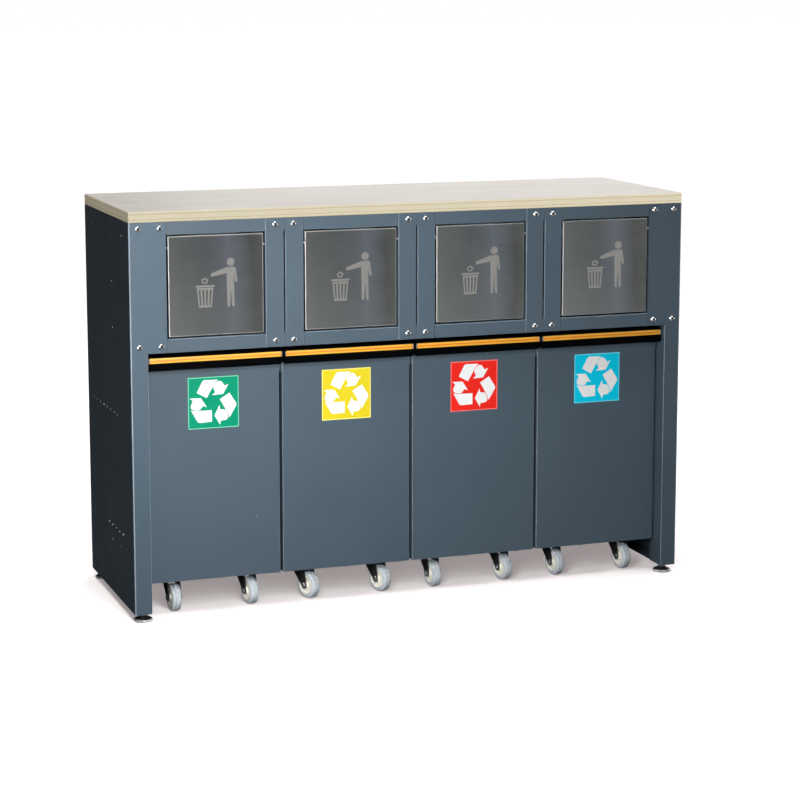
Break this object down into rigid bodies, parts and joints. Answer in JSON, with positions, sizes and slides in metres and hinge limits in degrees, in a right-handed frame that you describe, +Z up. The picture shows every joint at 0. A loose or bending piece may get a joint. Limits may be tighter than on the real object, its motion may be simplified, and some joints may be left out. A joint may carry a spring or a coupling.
{
  "type": "recycling bin station",
  "caption": "Steel recycling cabinet with a plywood top, self-closing stainless litter flaps and roll-out bins on casters.",
  "frame": {"origin": "on the floor, under the middle of the cabinet", "axes": "+X to the right as seen from the front, -Y out of the front, +Z up"},
  "size_m": [1.362, 0.4668, 0.94],
  "materials": {
    "paint": "satin anthracite blue-grey powder coat",
    "plywood": "clear-lacquered birch plywood, bare edges",
    "zinc": "bright zinc plate",
    "chrome": "polished",
    "stainless": "brushed",
    "black": "matt black",
    "amber": "satin amber",
    "sticker_1": "printed vinyl, green",
    "sticker_2": "printed vinyl, yellow",
    "sticker_3": "printed vinyl, red",
    "sticker_4": "printed vinyl, cyan",
    "black_steel": "black",
    "tyre": "grey tyre on a cream hub"
  },
  "bodies": {
    "cabinet": {"worktop": "plywood", "side_panel_left": "paint", "side_panel_right": "paint", "rear_panel": "paint", "front_rails": "zinc", "frame_fasteners": "chrome", "foot_pads": "chrome", "foot_studs": "zinc", "aperture_frame_1": "paint", "aperture_frame_2": "paint", "aperture_frame_3": "paint", "aperture_frame_4": "paint"},
    "flap_1": {"flap_1": "stainless"},
    "flap_2": {"flap_2": "stainless"},
    "flap_3": {"flap_3": "stainless"},
    "flap_4": {"flap_4": "stainless"},
    "bin_1": {"bin_1_body": "paint", "bin_1_handle": "black", "bin_1_grip_strip": "amber", "bin_1_sticker": "sticker_1", "bin_1_caster_mounts": "black_steel"},
    "bin_1_fork_left": {"bin_1_fork_left": "black_steel"},
    "bin_1_wheel_front_left": {"bin_1_wheel_front_left": "tyre"},
    "bin_1_wheel_rear_left": {"bin_1_wheel_rear_left": "tyre"},
    "bin_1_fork_right": {"bin_1_fork_right": "black_steel"},
    "bin_1_wheel_front_right": {"bin_1_wheel_front_right": "tyre"},
    "bin_1_wheel_rear_right": {"bin_1_wheel_rear_right": "tyre"},
    "bin_2": {"bin_2_body": "paint", "bin_2_handle": "black", "bin_2_grip_strip": "amber", "bin_2_sticker": "sticker_2", "bin_2_caster_mounts": "black_steel"},
    "bin_2_fork_left": {"bin_2_fork_left": "black_steel"},
    "bin_2_wheel_front_left": {"bin_2_wheel_front_left": "tyre"},
    "bin_2_wheel_rear_left": {"bin_2_wheel_rear_left": "tyre"},
    "bin_2_fork_right": {"bin_2_fork_right": "black_steel"},
    "bin_2_wheel_front_right": {"bin_2_wheel_front_right": "tyre"},
    "bin_2_wheel_rear_right": {"bin_2_wheel_rear_right": "tyre"},
    "bin_3": {"bin_3_body": "paint", "bin_3_handle": "black", "bin_3_grip_strip": "amber", "bin_3_sticker": "sticker_3", "bin_3_caster_mounts": "black_steel"},
    "bin_3_fork_left": {"bin_3_fork_left": "black_steel"},
    "bin_3_wheel_front_left": {"bin_3_wheel_front_left": "tyre"},
    "bin_3_wheel_rear_left": {"bin_3_wheel_rear_left": "tyre"},
    "bin_3_fork_right": {"bin_3_fork_right": "black_steel"},
    "bin_3_wheel_front_right": {"bin_3_wheel_front_right": "tyre"},
    "bin_3_wheel_rear_right": {"bin_3_wheel_rear_right": "tyre"},
    "bin_4": {"bin_4_body": "paint", "bin_4_handle": "black", "bin_4_grip_strip": "amber", "bin_4_sticker": "sticker_4", "bin_4_caster_mounts": "black_steel"},
    "bin_4_fork_left": {"bin_4_fork_left": "black_steel"},
    "bin_4_wheel_front_left": {"bin_4_wheel_front_left": "tyre"},
    "bin_4_wheel_rear_left": {"bin_4_wheel_rear_left": "tyre"},
    "bin_4_fork_right": {"bin_4_fork_right": "black_steel"},
    "bin_4_wheel_front_right": {"bin_4_wheel_front_right": "tyre"},
    "bin_4_wheel_rear_right": {"bin_4_wheel_rear_right": "tyre"}
  },
  "joints": [
    {"name": "flap_1_swing", "type": "hinge", "parent": "cabinet", "child": "flap_1", "pos_m": [-0.48, -0.223, 0.856], "axis": [1, 0, 0], "range_deg": [0, 70]},
    {"name": "flap_2_swing", "type": "hinge", "parent": "cabinet", "child": "flap_2", "pos_m": [-0.16, -0.223, 0.856], "axis": [1, 0, 0], "range_deg": [0, 70]},
    {"name": "flap_3_swing", "type": "hinge", "parent": "cabinet", "child": "flap_3", "pos_m": [0.16, -0.223, 0.856], "axis": [1, 0, 0], "range_deg": [0, 70]},
    {"name": "flap_4_swing", "type": "hinge", "parent": "cabinet", "child": "flap_4", "pos_m": [0.48, -0.223, 0.856], "axis": [1, 0, 0], "range_deg": [0, 70]},
    {"name": "bin_1_roll_out", "type": "slide", "parent": "cabinet", "child": "bin_1", "axis": [0, -1, 0], "range_m": [0, 0.45]},
    {"name": "bin_1_swivel_left", "type": "hinge", "parent": "bin_1", "child": "bin_1_fork_left", "pos_m": [-0.57, -0.12, 0.08], "axis": [0, 0, 1], "continuous": true},
    {"name": "bin_1_spin_front_left", "type": "hinge", "parent": "bin_1_fork_left", "child": "bin_1_wheel_front_left", "pos_m": [-0.56869, -0.14497, 0.032], "axis": [0.9986, 0.0523, 0], "continuous": true},
    {"name": "bin_1_spin_rear_left", "type": "hinge", "parent": "bin_1", "child": "bin_1_wheel_rear_left", "pos_m": [-0.57, 0.101, 0.032], "axis": [1, 0, 0], "continuous": true},
    {"name": "bin_1_swivel_right", "type": "hinge", "parent": "bin_1", "child": "bin_1_fork_right", "pos_m": [-0.39, -0.12, 0.08], "axis": [0, 0, 1], "continuous": true},
    {"name": "bin_1_spin_front_right", "type": "hinge", "parent": "bin_1_fork_right", "child": "bin_1_wheel_front_right", "pos_m": [-0.38566, -0.14462, 0.032], "axis": [0.9848, 0.1736, 0], "continuous": true},
    {"name": "bin_1_spin_rear_right", "type": "hinge", "parent": "bin_1", "child": "bin_1_wheel_rear_right", "pos_m": [-0.39, 0.101, 0.032], "axis": [1, 0, 0], "continuous": true},
    {"name": "bin_2_roll_out", "type": "slide", "parent": "cabinet", "child": "bin_2", "axis": [0, -1, 0], "range_m": [0, 0.45]},
    {"name": "bin_2_swivel_left", "type": "hinge", "parent": "bin_2", "child": "bin_2_fork_left", "pos_m": [-0.25, -0.12, 0.08], "axis": [0, 0, 1], "continuous": true},
    {"name": "bin_2_spin_front_left", "type": "hinge", "parent": "bin_2_fork_left", "child": "bin_2_wheel_front_left", "pos_m": [-0.24063, -0.14318, 0.032], "axis": [0.9272, 0.3746, 0], "continuous": true},
    {"name": "bin_2_spin_rear_left", "type": "hinge", "parent": "bin_2", "child": "bin_2_wheel_rear_left", "pos_m": [-0.25, 0.101, 0.032], "axis": [1, 0, 0], "continuous": true},
    {"name": "bin_2_swivel_right", "type": "hinge", "parent": "bin_2", "child": "bin_2_fork_right", "pos_m": [-0.07, -0.12, 0.08], "axis": [0, 0, 1], "continuous": true},
    {"name": "bin_2_spin_front_right", "type": "hinge", "parent": "bin_2_fork_right", "child": "bin_2_wheel_front_right", "pos_m": [-0.06145, -0.14349, 0.032], "axis": [0.9397, 0.342, 0], "continuous": true},
    {"name": "bin_2_spin_rear_right", "type": "hinge", "parent": "bin_2", "child": "bin_2_wheel_rear_right", "pos_m": [-0.07, 0.101, 0.032], "axis": [1, 0, 0], "continuous": true},
    {"name": "bin_3_roll_out", "type": "slide", "parent": "cabinet", "child": "bin_3", "axis": [0, -1, 0], "range_m": [0, 0.45]},
    {"name": "bin_3_swivel_left", "type": "hinge", "parent": "bin_3", "child": "bin_3_fork_left", "pos_m": [0.07, -0.12, 0.08], "axis": [0, 0, 1], "continuous": true},
    {"name": "bin_3_spin_front_left", "type": "hinge", "parent": "bin_3_fork_left", "child": "bin_3_wheel_front_left", "pos_m": [0.07218, -0.14491, 0.032], "axis": [0.9962, 0.0872, 0], "continuous": true},
    {"name": "bin_3_spin_rear_left", "type": "hinge", "parent": "bin_3", "child": "bin_3_wheel_rear_left", "pos_m": [0.07, 0.101, 0.032], "axis": [1, 0, 0], "continuous": true},
    {"name": "bin_3_swivel_right", "type": "hinge", "parent": "bin_3", "child": "bin_3_fork_right", "pos_m": [0.25, -0.12, 0.08], "axis": [0, 0, 1], "continuous": true},
    {"name": "bin_3_spin_front_right", "type": "hinge", "parent": "bin_3_fork_right", "child": "bin_3_wheel_front_right", "pos_m": [0.25434, -0.14462, 0.032], "axis": [0.9848, 0.1736, 0], "continuous": true},
    {"name": "bin_3_spin_rear_right", "type": "hinge", "parent": "bin_3", "child": "bin_3_wheel_rear_right", "pos_m": [0.25, 0.101, 0.032], "axis": [1, 0, 0], "continuous": true},
    {"name": "bin_4_roll_out", "type": "slide", "parent": "cabinet", "child": "bin_4", "axis": [0, -1, 0], "range_m": [0, 0.45]},
    {"name": "bin_4_swivel_left", "type": "hinge", "parent": "bin_4", "child": "bin_4_fork_left", "pos_m": [0.39, -0.12, 0.08], "axis": [0, 0, 1], "continuous": true},
    {"name": "bin_4_spin_front_left", "type": "hinge", "parent": "bin_4_fork_left", "child": "bin_4_wheel_front_left", "pos_m": [0.39348, -0.14476, 0.032], "axis": [0.9903, 0.1392, 0], "continuous": true},
    {"name": "bin_4_spin_rear_left", "type": "hinge", "parent": "bin_4", "child": "bin_4_wheel_rear_left", "pos_m": [0.39, 0.101, 0.032], "axis": [1, 0, 0], "continuous": true},
    {"name": "bin_4_swivel_right", "type": "hinge", "parent": "bin_4", "child": "bin_4_fork_right", "pos_m": [0.57, -0.12, 0.08], "axis": [0, 0, 1], "continuous": true},
    {"name": "bin_4_spin_front_right", "type": "hinge", "parent": "bin_4_fork_right", "child": "bin_4_wheel_front_right", "pos_m": [0.57305, -0.14481, 0.032], "axis": [0.9925, 0.1219, 0], "continuous": true},
    {"name": "bin_4_spin_rear_right", "type": "hinge", "parent": "bin_4", "child": "bin_4_wheel_rear_right", "pos_m": [0.57, 0.101, 0.032], "axis": [1, 0, 0], "continuous": true}
  ]
}
